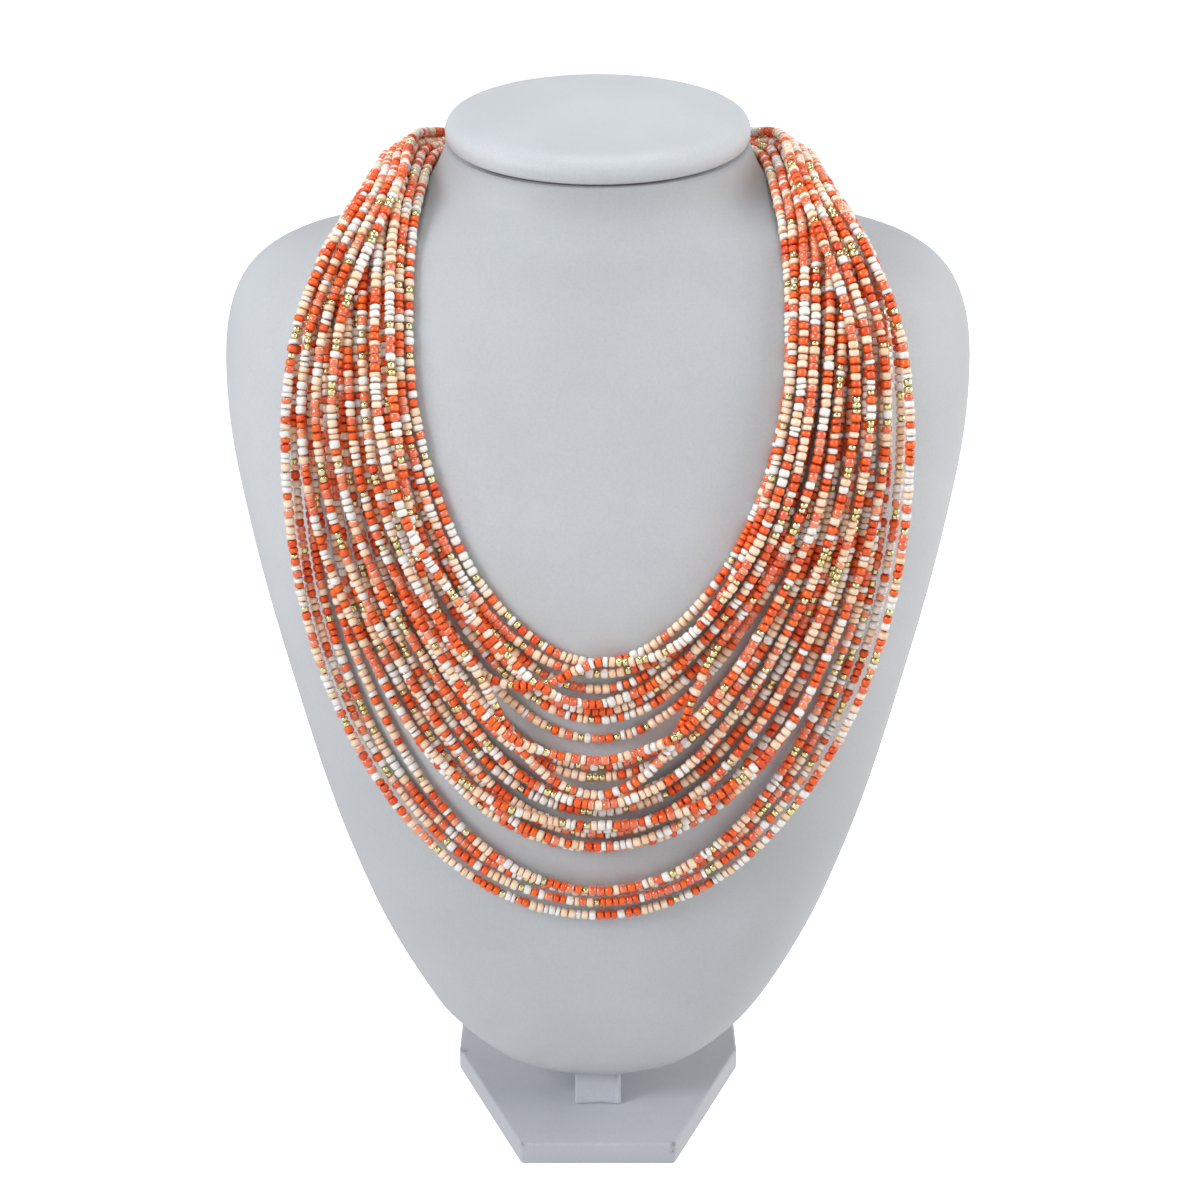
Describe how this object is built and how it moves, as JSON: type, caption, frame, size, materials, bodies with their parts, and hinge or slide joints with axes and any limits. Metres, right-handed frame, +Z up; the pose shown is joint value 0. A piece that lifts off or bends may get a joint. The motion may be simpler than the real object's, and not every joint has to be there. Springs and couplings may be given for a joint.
{
  "type": "multi strand necklace on a neck bust",
  "caption": "Multi strand seed bead necklace with a plain box clasp, draped over a smooth padded neck bust on a square post and a flat foot with cut front corners.",
  "frame": {"origin": "centre of the foot's underside, on the table", "axes": "+X to the right as seen from the front, +Y away from the front, +Z up; the bust faces -Y"},
  "size_m": [0.215, 0.1322, 0.311],
  "materials": {
    "leatherette": "satin",
    "gold": "polished",
    "beads_orange": "glossy",
    "beads_peach": "glossy",
    "beads_white": "glossy",
    "beads_coral": "glossy"
  },
  "bodies": {
    "root": {"neck_bust": "leatherette", "neck_cap": "leatherette", "post": "leatherette", "foot": "leatherette", "clasp": "gold", "strand_01": "beads_orange", "strand_02": "beads_peach", "strand_03": "beads_white", "strand_04": "beads_coral", "strand_05": "beads_orange", "strand_06": "beads_peach", "strand_07": "beads_white", "strand_08": "beads_coral", "strand_09": "beads_orange", "strand_10": "beads_peach", "strand_11": "beads_white", "strand_12": "beads_coral", "strand_13": "beads_orange", "strand_14": "beads_peach", "strand_15": "beads_white", "strand_16": "beads_coral", "strand_17": "beads_orange", "strand_18": "beads_peach", "strand_19": "beads_white", "strand_20": "beads_coral", "strand_21": "beads_orange", "strand_22": "beads_peach", "strand_23": "beads_white", "strand_24": "beads_coral"}
  },
  "joints": []
}
